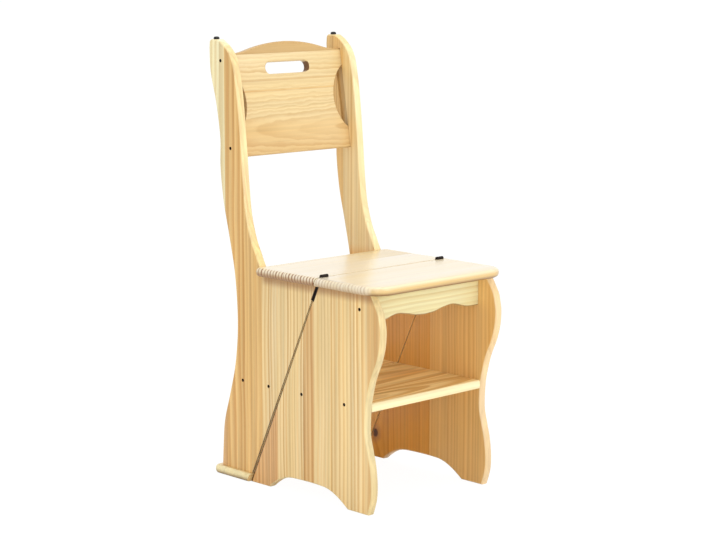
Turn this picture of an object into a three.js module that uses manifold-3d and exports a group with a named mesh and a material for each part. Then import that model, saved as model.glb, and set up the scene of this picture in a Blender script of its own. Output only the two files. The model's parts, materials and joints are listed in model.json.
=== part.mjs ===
// Folding step stool chair in clear-lacquered pine, in millimetres.
// +X is to the right of someone who looks at its front, +Y is to the rear and +Z is up. Depths are
// measured from the hinge axis, which lies across the seat, and heights from the floor.
// One slanting cut parts the chair from the hinge axis down and back to the floor. The front half stands,
// and the back half turns over about the axis, by half a turn, to make a step ladder.

import * as THREE from 'three';
import { mergeVertices } from 'three/addons/utils/BufferGeometryUtils.js';
import Module from 'manifold-3d';

// Driving dimensions: the whole chair
const pivot_height = 450;          // hinge axis above the floor; the posts end at twice this height
const frame_width = 340;           // over the outer faces of the side boards
const side_thickness = 18;
const front_reach = 166;           // side boards ahead of the axis, at their bulge
const back_reach = 331;            // posts behind the axis, at their top
const post_depth = 104;            // from the front edge of a post, under the backrest, to that reach
const cut_reach = 211;             // the slanting cut meets the floor this far behind the axis
const saw_gap = 3;                 // width of the slanting cut
const fit_gap = 0.3;               // clearance between pieces that touch
const overrun = 4;                 // how far a cutting tool passes the face that it opens

// Seat
const seat_thickness = 18;
const knuckle_rise = 2;            // hinge axis above the top of the seat
const seat_overhang = 14;          // beyond the outer face of each side board
const seat_depth = 348;            // from its front edge to its rear edge
const seat_front_reach = 168;      // of that, ahead of the axis
const seat_front_corner = 45;      // radius of the two front corners, seen from above
const seat_rear_corner = 10;
const seat_edge_radius = 8;        // rounding of its edges, top and bottom

// Steps and apron
const step_height = 207.5;         // middle of the two steps between the side boards
const step_thickness = 18;
const lower_step_setback = 1.5;    // behind the front edge of the side boards
const upper_step_setback = 5;      // ahead of the rear edge of the side boards
const tread_thickness = 18;        // the top step, which lies on the floor while this is a chair
const tread_overhang = 10;         // beyond the outer face of each side board
const tread_rear_overhang = 16.5;  // behind the lower end of the back side boards
const tread_corner = 12;
const tread_edge_radius = 7;
const apron_thickness = 18;
const apron_reach = 117;           // its front face, ahead of the axis
const apron_depth = 60;
const apron_wave_rise = 10;

// Backrest
const backrest_thickness = 18;
const backrest_lean = 9.3;         // degrees from upright
const backrest_inset = 34;         // its middle plane, ahead of the posts' rear reach, at the shoulders
const shoulder_drop = 29.5;        // its shoulders, below the tops of the posts
const shoulder_rise = 209;         // its shoulders, above its lower edge
const arch_rise = 21;              // top of the arch, above the shoulders
const housing_depth = 4;           // groove in each post that holds the board's end
const slot_length = 118;
const slot_height = 24;
const slot_drop = 33;              // middle of the hand slot, below the shoulders
const cutout_length = 126;         // side cut-outs, measured at the face of the post
const cutout_depth = 30;
const cutout_drop = 100;           // middle of the side cut-outs, below the shoulders

// Hinges: the leaves lie in the slanting cut
const leaf_length = 56;
const leaf_thickness = 2.6;
const knuckle_count = 3;           // in each hinge, taken in turn by the front and the rear leaf
const knuckle_radius = 3.6;        // also how far the leaves' outer faces lie from the middle of the cut
const hinge_pin_radius = 1.6;
const hinge_screw_first = 36;      // down the cut from the axis
const hinge_screw_spacing = 13;
const hinge_screw_length = 14;
const hinge_screw_radius = 1.5;
const hinge_screw_head_radius = 2.8;
const hinge_screw_head_height = 1.4;

// Screws through the side boards, seat dowels and bumpers
const screw_length = 45;
const screw_radius = 2;
const screw_head_radius = 3.2;
const screw_head_height = 3;
const screw_sink = 1.2;            // head below the face of the board
const socket_radius = 1.5;
const socket_depth = 1.4;
const hinge_socket_depth = 0.7;
const dowel_radius = 4;
const dowel_length = 30;
const dowel_share_in_seat = 0.4;
const bumper_radius = 6;
const bumper_height = 5.5;
const bumper_nail_radius = 1.2;
const bumper_nail_length = 12;

// Outlines, as shares of the sizes that they follow
// Front edge of a side board: height of the board, and reach ahead of the axis
const front_edge_shares = [[0, 0.795], [0.07, 0.852], [0.14, 0.863], [0.22, 0.84], [0.29, 0.796],
  [0.36, 0.752], [0.43, 0.75], [0.5, 0.765], [0.57, 0.805], [0.63, 0.853], [0.7, 0.933], [0.77, 0.985],
  [0.84, 1], [0.89, 0.981], [0.93, 0.951], [1, 0.84]];
// Arch under a side board: along the span between its feet, from the rear, and up
const foot_arch_shares = [[0, 0], [0.06, 0.33], [0.14, 0.67], [0.25, 0.93], [0.4, 1], [0.63, 1],
  [0.76, 0.9], [0.88, 0.55], [1, 0]];
const front_foot_share = 0.45;     // rear end of the front foot, of the front reach
const rear_foot_share = 0.725;     // front end of the rear foot, of the reach of the cut
const foot_arch_rise = 32;
// Rear edge of a back side board: height of the post, and reach behind the axis
const rear_edge_shares = [[0.0204, 0.909], [0.067, 0.902], [0.128, 0.886], [0.195, 0.832], [0.262, 0.783],
  [0.335, 0.758], [0.402, 0.759], [0.48, 0.781], [0.558, 0.828], [0.636, 0.879], [0.714, 0.906],
  [0.781, 0.906], [0.859, 0.942], [0.926, 0.99], [0.979, 1]];
const rear_corner_shares = [[0.995, 0.996], [1, 0.982]];
// Front edge of a post, from the top down: rise above the axis, and share of the post's depth
const post_top_shares = [[1, 0.731], [0.986, 0.615], [0.968, 0.514], [0.942, 0.399], [0.908, 0.313],
  [0.874, 0.264], [0.785, 0.188], [0.661, 0.12], [0.516, 0.058], [0.354, 0]];
// The same edge on down to the seat: rise, and step back from the seat's rear edge
const post_foot_shares = [[0.22, 0.837], [0.112, 0.529], [0.04, 0.176], [-0.005, 0]];
// Top of the backrest, from the middle out: along half its width, and up the arch
const arch_shares = [[0, 1], [0.2, 0.938], [0.4, 0.762], [0.59, 0.48], [0.76, 0.167], [0.92, 0]];
// Lower edge of the apron, from the middle out: along half its width, and up the wave
const wave_shares = [[0, 0], [0.17, 0.18], [0.31, 0.65], [0.45, 1], [0.53, 1], [0.61, 0.75], [0.7, 0.35],
  [0.82, 0.03], [1, 0]];
// Screws and dowels along the boards that they hold
const lower_step_screw_shares = [0.248, 0.765];
const upper_step_screw_shares = [0.269, 0.813];
const tread_screw_shares = [0.25, 0.8];
const seat_dowel_shares = [0.3, 0.68];
const apron_screw_share = 0.5;
const backrest_screw_shares = [0.095, 0.94];
const bumper_share = 0.865;

// How finely round shapes are cut
const edge_steps = 26;
const rear_edge_steps = 40;
const arch_steps = 20;
const corner_steps = 8;
const edge_round_steps = 3;
const screw_sides = 10;
const socket_sides = 6;
const round_sides = 16;

// Heights, depths and widths that follow
const half_width = frame_width / 2;
const inner_half = half_width - side_thickness;
const seat_rear_reach = seat_depth - seat_front_reach;
const seat_top = pivot_height - knuckle_rise;
const seat_bottom = seat_top - seat_thickness;
const side_top = seat_bottom - fit_gap;
const post_top = 2 * pivot_height - bumper_height;
const between_half = inner_half - fit_gap;
const sides = { left: -1, right: 1 };

// The slanting cut: one direction down it and one square to it, towards the rear
const cut_length = Math.hypot(cut_reach, pivot_height);
const down_cut = new THREE.Vector3(0, cut_reach / cut_length, -pivot_height / cut_length);
const behind_cut = new THREE.Vector3(0, pivot_height / cut_length, cut_reach / cut_length);
const across = new THREE.Vector3(1, 0, 0);
const up = new THREE.Vector3(0, 0, 1);

function at_cut(x, along, behind) {
  return new THREE.Vector3(x, 0, pivot_height)
    .addScaledVector(down_cut, along)
    .addScaledVector(behind_cut, behind);
}

function cut_depth_at(height, behind) {
  return cut_reach * (1 - height / pivot_height) + behind * cut_length / pivot_height;
}

const wasm = await Module();
wasm.setup();

// A closed geometry becomes a solid that can be joined and cut. Slivers at the poles are dropped.
function solid(geometry) {
  geometry.deleteAttribute('normal');
  geometry.deleteAttribute('uv');
  const merged = mergeVertices(geometry);
  const corners = merged.index.array;
  const triangles = [];
  for (let i = 0; i < corners.length; i += 3) {
    const [a, b, c] = [corners[i], corners[i + 1], corners[i + 2]];
    if (a !== b && b !== c && c !== a) triangles.push(a, b, c);
  }
  return new wasm.Manifold(new wasm.Mesh({
    numProp: 3,
    vertProperties: new Float32Array(merged.attributes.position.array),
    triVerts: new Uint32Array(triangles),
  }));
}

function cut_away(board, tools) {
  let result = board;
  for (const tool of tools) result = result.subtract(tool);
  return result;
}

function smooth(points, steps) {
  return new THREE.SplineCurve(points).getPoints(steps);
}

// A flat outline is drawn on two directions and carried along a third. Its edges may be rounded.
function board(outline, origin, right, rise, thickness, holes = [], edge_radius = 0) {
  const shape = new THREE.Shape(outline);
  shape.holes = holes;
  const geometry = new THREE.ExtrudeGeometry(shape, {
    depth: thickness - 2 * edge_radius,
    steps: 1,
    bevelEnabled: edge_radius > 0,
    bevelThickness: edge_radius,
    bevelSize: edge_radius,
    bevelOffset: -edge_radius,
    bevelSegments: edge_round_steps,
  });
  const out = new THREE.Vector3().crossVectors(right, rise);
  const first_face = origin.clone().addScaledVector(out, edge_radius);
  geometry.applyMatrix4(new THREE.Matrix4().makeBasis(right, rise, out).setPosition(first_face));
  return solid(geometry);
}

// A board seen from the side: its outline holds depths and heights, and it runs across in X.
function side_view_board(outline, x_from, width) {
  const origin = new THREE.Vector3(x_from, 0, 0);
  return board(outline, origin, new THREE.Vector3(0, 1, 0), up, width);
}

// A board seen from above: its outline holds places across and depths.
function plan_board(outline, height, thickness, edge_radius) {
  const origin = new THREE.Vector3(0, 0, height);
  return board(outline, origin, across, new THREE.Vector3(0, 1, 0), thickness, [], edge_radius);
}

// A rectangular block in the directions of the slanting cut.
function cut_block(x_from, x_to, along_from, along_to, behind_from, behind_to) {
  const outline = [[along_from, behind_from], [along_to, behind_from], [along_to, behind_to],
    [along_from, behind_to]].map(([a, b]) => new THREE.Vector2(a, b));
  return board(outline, at_cut(x_from, 0, 0), down_cut, behind_cut, x_to - x_from);
}

// A round piece turned about an axis: its profile holds radii and places along the axis.
function turned(profile, origin, direction, steps) {
  const points = profile.map(([radius, along]) => new THREE.Vector2(radius, along));
  const geometry = new THREE.LatheGeometry(points, steps);
  const turn = new THREE.Quaternion().setFromUnitVectors(new THREE.Vector3(0, 1, 0), direction);
  geometry.applyMatrix4(new THREE.Matrix4().makeRotationFromQuaternion(turn).setPosition(origin));
  return solid(geometry);
}

function rod(radius, from, direction, length, steps) {
  return turned([[0, 0], [radius, 0], [radius, length], [0, length]], from, direction, steps);
}

// A countersunk screw, and the clear hole that it sits in. The point is on the face that it enters.
function screw_and_hole(size, point, direction) {
  const { length, radius, head_radius, head_height, sink, socket } = size;
  const start = point.clone().addScaledVector(direction, sink);
  const body = turned([[0, 0], [head_radius, 0], [radius, head_height], [radius, length], [0, length]],
    start, direction, screw_sides);
  const opening = start.clone().addScaledVector(direction, -sink - overrun);
  const head_end = sink + overrun;
  const wide = head_radius + fit_gap;
  const narrow = radius + fit_gap;
  const hole = turned([[0, 0], [wide, 0], [wide, head_end], [narrow, head_end + head_height],
    [narrow, head_end + length + fit_gap], [0, head_end + length + fit_gap]],
  opening, direction, screw_sides);
  const key_socket = rod(socket_radius, start.clone().addScaledVector(direction, -overrun), direction,
    overrun + socket, socket_sides);
  return { body: body.subtract(key_socket), hole };
}

const wood_screw = { length: screw_length, radius: screw_radius, head_radius: screw_head_radius,
  head_height: screw_head_height, sink: screw_sink, socket: socket_depth };
const hinge_screw = { length: hinge_screw_length, radius: hinge_screw_radius,
  head_radius: hinge_screw_head_radius, head_height: hinge_screw_head_height, sink: 0,
  socket: hinge_socket_depth };

// Finishes
const finishes = {
  pine: { color: 0xdfb273, roughness: 0.42, metalness: 0 },
  beech: { color: 0xd9b384, roughness: 0.7, metalness: 0 },
  black_steel: { color: 0x17130f, roughness: 0.45, metalness: 0.7 },
  screw_steel: { color: 0x3a2f26, roughness: 0.4, metalness: 0.8 },
  rubber: { color: 0x12120f, roughness: 0.8, metalness: 0 },
};

const model = new THREE.Group();
model.name = 'folding_step_stool_chair';

function add(name, finish, piece) {
  const mesh_data = piece.getMesh();
  const geometry = new THREE.BufferGeometry();
  const places = new Float32Array(mesh_data.vertProperties);
  geometry.setAttribute('position', new THREE.BufferAttribute(places, 3));
  geometry.setIndex(new THREE.BufferAttribute(new Uint32Array(mesh_data.triVerts), 1));
  geometry.computeVertexNormals();
  const material = new THREE.MeshStandardMaterial({ ...finishes[finish], flatShading: true });
  const mesh = new THREE.Mesh(geometry, material);
  mesh.name = name;
  model.add(mesh);
}

// Outlines of the side boards
const front_edge = smooth(front_edge_shares.map(([height, reach]) =>
  new THREE.Vector2(-reach * front_reach, height * side_top)), edge_steps);
const arch_from = rear_foot_share * cut_reach;
const arch_to = -front_foot_share * front_reach;
const foot_arch = smooth(foot_arch_shares.map(([along, rise]) =>
  new THREE.Vector2(arch_from + along * (arch_to - arch_from), rise * foot_arch_rise)), arch_steps);
const front_side_outline = [
  ...front_edge,
  new THREE.Vector2(cut_depth_at(side_top, -saw_gap / 2), side_top),
  new THREE.Vector2(cut_depth_at(0, -saw_gap / 2), 0),
  ...foot_arch,
];

const post_foot_depth = seat_rear_reach + fit_gap;
const post_front_reach = back_reach - post_depth;
const post_rise = post_top - pivot_height;
const rear_edge = smooth(rear_edge_shares.map(([height, reach]) =>
  new THREE.Vector2(reach * back_reach, height * post_top)), rear_edge_steps);
const back_side_bottom = tread_thickness + fit_gap;
rear_edge[0].y = back_side_bottom;
const rear_corner = rear_corner_shares.map(([height, reach]) =>
  new THREE.Vector2(reach * back_reach, height * post_top));
const post_front = smooth([
  ...post_top_shares.map(([rise, depth]) => new THREE.Vector2(
    post_front_reach + depth * (back_reach - post_front_reach), pivot_height + rise * post_rise)),
  ...post_foot_shares.map(([rise, depth]) => new THREE.Vector2(
    post_foot_depth + depth * (post_front_reach - post_foot_depth), pivot_height + rise * post_rise)),
], rear_edge_steps);
const back_side_outline = [
  ...rear_edge,
  ...rear_corner,
  ...post_front,
  new THREE.Vector2(post_foot_depth, side_top),
  new THREE.Vector2(cut_depth_at(side_top, saw_gap / 2), side_top),
  new THREE.Vector2(cut_depth_at(back_side_bottom, saw_gap / 2), back_side_bottom),
];

// Depth of an edge at a height, read from its points
function depth_at(edge, height) {
  const above = edge.findIndex((point, i) => i > 0 && (point.y - height) * (edge[i - 1].y - height) <= 0);
  const [from, to] = [edge[above - 1], edge[above]];
  return from.x + (to.x - from.x) * (height - from.y) / (to.y - from.y);
}

// Hinges: two leaves and a pin each. The leaf is as wide as the side board is thick.
const leaf_outer = knuckle_radius;
const leaf_inner = leaf_outer - leaf_thickness;
const knuckle_clear = knuckle_radius + fit_gap;
const recess_radius = Math.hypot(knuckle_clear, knuckle_rise);  // clears the knuckles at the seat's top
const knuckle_length = (side_thickness - (knuckle_count - 1) * fit_gap) / knuckle_count;
const hinge_screw_places = [hinge_screw_first, hinge_screw_first + hinge_screw_spacing];
const cuts = { front_left: [], front_right: [], rear_left: [], rear_right: [] };
const seat_cuts = { front: [], rear: [] };

for (const [name, side] of Object.entries(sides)) {
  const x_from = side < 0 ? -half_width : inner_half;
  const x_to = x_from + side_thickness;
  const knuckle_starts = Array.from({ length: knuckle_count }, (_, i) =>
    x_from + i * (knuckle_length + fit_gap));
  const bore = rod(hinge_pin_radius + fit_gap, at_cut(x_from - overrun, 0, 0), across,
    side_thickness + 2 * overrun, round_sides);
  const recess = rod(recess_radius, at_cut(x_from - fit_gap, 0, 0), across,
    side_thickness + 2 * fit_gap, round_sides);
  for (const [half, facing] of [['front', -1], ['rear', 1]]) {
    const faces = [facing * leaf_inner, facing * leaf_outer].sort((a, b) => a - b);
    let leaf = cut_block(x_from, x_to, knuckle_clear, leaf_length, faces[0], faces[1]);
    const own_starts = knuckle_starts.filter((_, i) => (i % 2 === 0) === (half === 'front'));
    for (const start of own_starts) {
      const knuckle = rod(knuckle_radius, at_cut(start, 0, 0), across, knuckle_length, round_sides);
      const finger = cut_block(start, start + knuckle_length, 0, knuckle_clear + fit_gap,
        faces[0], faces[1]);
      leaf = leaf.add(finger).add(knuckle);
    }
    const mortise_faces = [0, facing * (leaf_outer + fit_gap)].sort((a, b) => a - b);
    const mortise = cut_block(x_from - fit_gap, x_to + fit_gap, -overrun, leaf_length + fit_gap,
      mortise_faces[0], mortise_faces[1]);
    cuts[`${half}_${name}`].push(mortise);
    seat_cuts[half].push(mortise, recess);
    hinge_screw_places.forEach((along, i) => {
      const place = at_cut(x_from + side_thickness / 2, along, facing * leaf_inner);
      const { body, hole } = screw_and_hole(hinge_screw, place, behind_cut.clone().multiplyScalar(facing));
      leaf = leaf.subtract(hole);
      cuts[`${half}_${name}`].push(hole);
      add(`${half}_hinge_screw_${name}_${i + 1}`, 'screw_steel', body);
    });
    add(`hinge_${half}_leaf_${name}`, 'black_steel', leaf.subtract(bore));
  }
  add(`hinge_pin_${name}`, 'black_steel',
    rod(hinge_pin_radius, at_cut(x_from, 0, 0), across, side_thickness, round_sides));
}

// Dowels between the side boards and the seat
const front_top = [-front_edge_shares.at(-1)[1] * front_reach, cut_depth_at(side_top, -saw_gap / 2)];
const rear_top = [cut_depth_at(side_top, saw_gap / 2), post_foot_depth];
for (const [name, side] of Object.entries(sides)) {
  for (const [half, [from, to]] of [['front', front_top], ['rear', rear_top]]) {
    seat_dowel_shares.forEach((share, i) => {
      const depth = from + share * (to - from);
      const x = side * (half_width - side_thickness / 2);
      const foot = new THREE.Vector3(x, depth, side_top - (1 - dowel_share_in_seat) * dowel_length);
      const hole = rod(dowel_radius + fit_gap, foot.clone().setZ(foot.z - fit_gap), up,
        dowel_length + 2 * fit_gap, screw_sides);
      cuts[`${half}_${name}`].push(hole);
      seat_cuts[half].push(hole);
      const dowel = rod(dowel_radius, foot, up, dowel_length, screw_sides);
      add(`${half}_seat_dowel_${name}_${i + 1}`, 'beech', dowel);
    });
  }
}

// Screws through the side boards into the ends of what they hold
const step_bottom = step_height - step_thickness / 2;
const step_top = step_height + step_thickness / 2;
const lower_step_front = depth_at(front_edge, step_height) + lower_step_setback;
const upper_step_rear = depth_at(rear_edge, step_height) - upper_step_setback;
const lower_step_rear = cut_depth_at(step_height, -saw_gap / 2);
const upper_step_front = cut_depth_at(step_height, saw_gap / 2);
const backrest_angle = THREE.MathUtils.degToRad(backrest_lean);
const along_back = new THREE.Vector3(0, Math.sin(backrest_angle), Math.cos(backrest_angle));
const shoulder = new THREE.Vector3(0, back_reach - backrest_inset, post_top - shoulder_drop);
const backrest_foot = shoulder.clone().addScaledVector(along_back, -shoulder_rise);

function between(from, to, shares) {
  return shares.map((share) => from + share * (to - from));
}

const side_screws = [
  { name: 'lower_step_screw', half: 'front', holds: 'lower_step',
    places: between(lower_step_front, lower_step_rear, lower_step_screw_shares)
      .map((depth) => new THREE.Vector3(0, depth, step_height)) },
  { name: 'apron_screw', half: 'front', holds: 'apron',
    places: [new THREE.Vector3(0, -apron_reach + apron_thickness / 2,
      side_top - apron_screw_share * apron_depth)] },
  { name: 'upper_step_screw', half: 'rear', holds: 'upper_step',
    places: between(upper_step_front, upper_step_rear, upper_step_screw_shares)
      .map((depth) => new THREE.Vector3(0, depth, step_height)) },
  { name: 'backrest_screw', half: 'rear', holds: 'backrest',
    places: backrest_screw_shares.map((share) =>
      backrest_foot.clone().addScaledVector(along_back, share * shoulder_rise)) },
];
const board_cuts = { lower_step: [], apron: [], upper_step: [], backrest: [], tread: [] };
for (const { name, half, holds, places } of side_screws) {
  for (const [side_name, side] of Object.entries(sides)) {
    places.forEach((place, i) => {
      const start = place.clone().setX(side * half_width);
      const inwards = across.clone().multiplyScalar(-side);
      const { body, hole } = screw_and_hole(wood_screw, start, inwards);
      cuts[`${half}_${side_name}`].push(hole);
      board_cuts[holds].push(hole);
      const number = places.length > 1 ? `_${i + 1}` : '';
      add(`${name}_${side_name}${number}`, 'screw_steel', body);
    });
  }
}

// Screws up through the top step into the lower edges of the back side boards
const tread_front = cut_depth_at(back_side_bottom, saw_gap / 2);
for (const [name, side] of Object.entries(sides)) {
  between(tread_front, rear_edge[0].x, tread_screw_shares).forEach((depth, i) => {
    const start = new THREE.Vector3(side * (half_width - side_thickness / 2), depth, 0);
    const { body, hole } = screw_and_hole(wood_screw, start, up);
    cuts[`rear_${name}`].push(hole);
    board_cuts.tread.push(hole);
    add(`top_step_screw_${name}_${i + 1}`, 'screw_steel', body);
  });
}

// Bumpers on the tops of the posts, each with its nail
const bumper_depth = post_front_reach + bumper_share * (back_reach - post_front_reach);
for (const [name, side] of Object.entries(sides)) {
  const x = side * (half_width - side_thickness / 2);
  const seat_of_pad = new THREE.Vector3(x, bumper_depth, post_top + fit_gap);
  const pad = turned([[0, 0], [bumper_radius, 0], [bumper_radius, bumper_height / 2],
    [bumper_radius - bumper_height / 4, bumper_height - fit_gap], [0, bumper_height - fit_gap]],
  seat_of_pad, up, round_sides);
  const nail_start = seat_of_pad.clone().setZ(post_top - bumper_nail_length);
  const nail = rod(bumper_nail_radius, nail_start, up, bumper_nail_length + bumper_height / 2, screw_sides);
  const nail_hole = rod(bumper_nail_radius + fit_gap, nail_start.clone().setZ(nail_start.z - fit_gap), up,
    bumper_nail_length + overrun, screw_sides);
  cuts[`rear_${name}`].push(nail_hole);
  add(`bumper_${name}`, 'rubber', pad.add(nail));
}

// Backrest: across and up its own leaning plane, from its lower edge
const board_half = inner_half + housing_depth - fit_gap;
const cutout_radius = (cutout_length ** 2 / 4 + cutout_depth ** 2) / (2 * cutout_depth);
const cutout_centre = inner_half + cutout_radius - cutout_depth;
const cutout_height = shoulder_rise - cutout_drop;
const cutout_angle = Math.acos((cutout_centre - board_half) / cutout_radius);
const arch = smooth(arch_shares.map(([along, rise]) =>
  new THREE.Vector2(along * inner_half, shoulder_rise + rise * arch_rise)), edge_steps);
const cutout = [];
for (let i = 0; i <= arch_steps; i += 1) {
  const angle = cutout_angle * (2 * i / arch_steps - 1);
  cutout.push(new THREE.Vector2(cutout_centre - cutout_radius * Math.cos(angle),
    cutout_height + cutout_radius * Math.sin(angle)));
}
const right_half = [new THREE.Vector2(board_half, 0), ...cutout,
  new THREE.Vector2(board_half, shoulder_rise), ...arch.slice(1).reverse(), arch[0]];
const left_half = right_half.slice(0, -1).reverse().map((point) => new THREE.Vector2(-point.x, point.y));
const slot_radius = slot_height / 2;
const slot_end = slot_length / 2 - slot_radius;
const slot_middle = shoulder_rise - slot_drop;
const slot = new THREE.Path();
slot.absarc(slot_end, slot_middle, slot_radius, -Math.PI / 2, Math.PI / 2, false);
slot.absarc(-slot_end, slot_middle, slot_radius, Math.PI / 2, Math.PI * 1.5, false);
const front_of_back = new THREE.Vector3().crossVectors(across, along_back);
const back_origin = backrest_foot.clone().addScaledVector(front_of_back, -backrest_thickness / 2);
const backrest = board([...right_half, ...left_half], back_origin, across, along_back,
  backrest_thickness, [slot]);
add('backrest', 'pine', cut_away(backrest, board_cuts.backrest));

// Side boards, with the grooves that hold the backrest's ends
for (const [name, side] of Object.entries(sides)) {
  const x_from = side < 0 ? -half_width : inner_half;
  const front_side = side_view_board(front_side_outline, x_from, side_thickness);
  add(`front_side_${name}`, 'pine', cut_away(front_side, cuts[`front_${name}`]));
  const back_side = side_view_board(back_side_outline, x_from, side_thickness);
  const groove_half = backrest_thickness / 2 + fit_gap;
  const groove_outline = [[-fit_gap, -groove_half], [shoulder_rise + fit_gap, -groove_half],
    [shoulder_rise + fit_gap, groove_half], [-fit_gap, groove_half]]
    .map(([along, front]) => new THREE.Vector2(along, front));
  const groove_from = side < 0 ? -inner_half - housing_depth : inner_half - overrun;
  const groove = board(groove_outline, backrest_foot.clone().setX(groove_from), along_back,
    front_of_back, housing_depth + overrun);
  add(`back_side_${name}`, 'pine', cut_away(back_side, [...cuts[`rear_${name}`], groove]));
}

// Seat halves, cut along the slanting cut
const seat_half = half_width + seat_overhang;
function rounded_end(half, depth, radius, outwards) {
  const right = [];
  for (let i = 0; i <= corner_steps; i += 1) {
    const angle = i / corner_steps * Math.PI / 2;
    right.push(new THREE.Vector2(half - radius + radius * Math.cos(angle),
      depth - outwards * radius * (1 - Math.sin(angle))));
  }
  return [...right, ...right.map((point) => new THREE.Vector2(-point.x, point.y)).reverse()];
}
// Each half is sawn from a blank that reaches past the axis, by a block on the far side of the cut.
const blank_end = seat_thickness;
const far = 2 * (seat_thickness + knuckle_rise);
const wide = seat_half + overrun;
const behind_block = cut_block(-wide, wide, -far, far, -saw_gap / 2, far);
const ahead_block = cut_block(-wide, wide, -far, far, -far, saw_gap / 2);
const seat_front = plan_board([
  ...rounded_end(seat_half, -seat_front_reach, seat_front_corner, -1),
  new THREE.Vector2(-seat_half, blank_end), new THREE.Vector2(seat_half, blank_end),
], seat_bottom, seat_thickness, seat_edge_radius);
const seat_rear = plan_board([
  ...rounded_end(seat_half, seat_rear_reach, seat_rear_corner, 1),
  new THREE.Vector2(-seat_half, -blank_end), new THREE.Vector2(seat_half, -blank_end),
], seat_bottom, seat_thickness, seat_edge_radius);
add('seat_front', 'pine', cut_away(seat_front, [behind_block, ...seat_cuts.front]));
add('seat_rear', 'pine', cut_away(seat_rear, [ahead_block, ...seat_cuts.rear]));

// Steps between the side boards, with ends that follow the slanting cut
const lower_step = side_view_board([
  new THREE.Vector2(lower_step_front, step_bottom), new THREE.Vector2(lower_step_front, step_top),
  new THREE.Vector2(cut_depth_at(step_top, -saw_gap / 2), step_top),
  new THREE.Vector2(cut_depth_at(step_bottom, -saw_gap / 2), step_bottom),
], -between_half, 2 * between_half);
add('lower_step', 'pine', cut_away(lower_step, board_cuts.lower_step));
const upper_step = side_view_board([
  new THREE.Vector2(cut_depth_at(step_bottom, saw_gap / 2), step_bottom),
  new THREE.Vector2(cut_depth_at(step_top, saw_gap / 2), step_top),
  new THREE.Vector2(upper_step_rear, step_top), new THREE.Vector2(upper_step_rear, step_bottom),
], -between_half, 2 * between_half);
add('upper_step', 'pine', cut_away(upper_step, board_cuts.upper_step));

// Top step: on the floor while this is a chair
const tread_half = half_width + tread_overhang;
const tread_reach = rear_edge[0].x + tread_rear_overhang;
const top_step = plan_board([
  ...rounded_end(tread_half, tread_reach, tread_corner, 1),
  new THREE.Vector2(-tread_half, 0), new THREE.Vector2(tread_half, 0),
], 0, tread_thickness, tread_edge_radius);
const ahead_of_tread = cut_block(-tread_half - overrun, tread_half + overrun, 0, 2 * cut_length,
  -cut_length, saw_gap / 2);
add('top_step', 'pine', cut_away(top_step, [ahead_of_tread, ...board_cuts.tread]));

// Apron: across and up, with its wave along the lower edge
const wave = smooth(wave_shares.map(([along, rise]) => new THREE.Vector2(
  along * between_half, side_top - apron_depth + rise * apron_wave_rise)), edge_steps);
const mirrored_wave = wave.slice(1).map((point) => new THREE.Vector2(-point.x, point.y));
const apron = board([...mirrored_wave.reverse(), ...wave, new THREE.Vector2(between_half, side_top),
  new THREE.Vector2(-between_half, side_top)], new THREE.Vector3(0, -apron_reach + apron_thickness, 0),
across, up, apron_thickness);
add('front_apron', 'pine', cut_away(apron, board_cuts.apron));

// The origin is on the floor, in the middle of the chair's own box
const front_end = Math.min(-seat_front_reach, -front_reach);
const rear_end = Math.max(back_reach, tread_reach);
model.position.y = -(front_end + rear_end) / 2;

export default model;
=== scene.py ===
# Folding step stool chair in clear-lacquered pine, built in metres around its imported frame.
# +X is to the right of someone who looks at its front, +Y is to the rear and +Z is up.
import json
import math
from functools import partialmethod
import bmesh
import bpy
import numpy as np
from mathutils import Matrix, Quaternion, Vector

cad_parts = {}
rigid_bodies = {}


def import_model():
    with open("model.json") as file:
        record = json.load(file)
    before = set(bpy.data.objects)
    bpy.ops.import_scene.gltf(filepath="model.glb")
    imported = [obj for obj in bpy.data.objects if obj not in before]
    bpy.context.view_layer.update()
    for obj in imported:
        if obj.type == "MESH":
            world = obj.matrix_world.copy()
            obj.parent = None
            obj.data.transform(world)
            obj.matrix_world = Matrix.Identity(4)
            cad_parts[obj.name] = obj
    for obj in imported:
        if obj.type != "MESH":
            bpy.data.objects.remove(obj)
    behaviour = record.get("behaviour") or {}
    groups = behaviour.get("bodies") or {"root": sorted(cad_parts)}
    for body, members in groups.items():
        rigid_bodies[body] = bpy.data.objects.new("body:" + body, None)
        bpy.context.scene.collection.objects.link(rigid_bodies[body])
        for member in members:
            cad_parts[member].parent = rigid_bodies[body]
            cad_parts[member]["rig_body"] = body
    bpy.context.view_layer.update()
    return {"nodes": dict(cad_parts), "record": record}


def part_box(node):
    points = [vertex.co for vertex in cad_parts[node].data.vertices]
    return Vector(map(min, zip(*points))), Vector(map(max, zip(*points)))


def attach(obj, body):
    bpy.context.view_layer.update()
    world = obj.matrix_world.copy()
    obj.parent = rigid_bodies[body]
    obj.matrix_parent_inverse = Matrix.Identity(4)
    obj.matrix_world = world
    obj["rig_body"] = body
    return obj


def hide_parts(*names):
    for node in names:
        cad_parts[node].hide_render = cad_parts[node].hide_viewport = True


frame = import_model()

# The camera stands well back, a little above the seat and round to the left of the chair's front, and
# its lens is set for a 716 by 540 picture.
view_azimuth, view_elevation, view_roll = (math.radians(angle) for angle in (43.863, 9.372, 0.092))
view_distance = 3.9524
look_at = Vector((-0.03708, -0.0473, 0.44372))
camera_data = bpy.data.cameras.new("camera")
camera_data.sensor_fit = "HORIZONTAL"
camera_data.sensor_width = 36
camera_data.lens = 99.855


def add_object(name, data):
    """A new object in the scene."""
    added = bpy.data.objects.new(name, data)
    bpy.context.scene.collection.objects.link(added)
    return added


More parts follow.
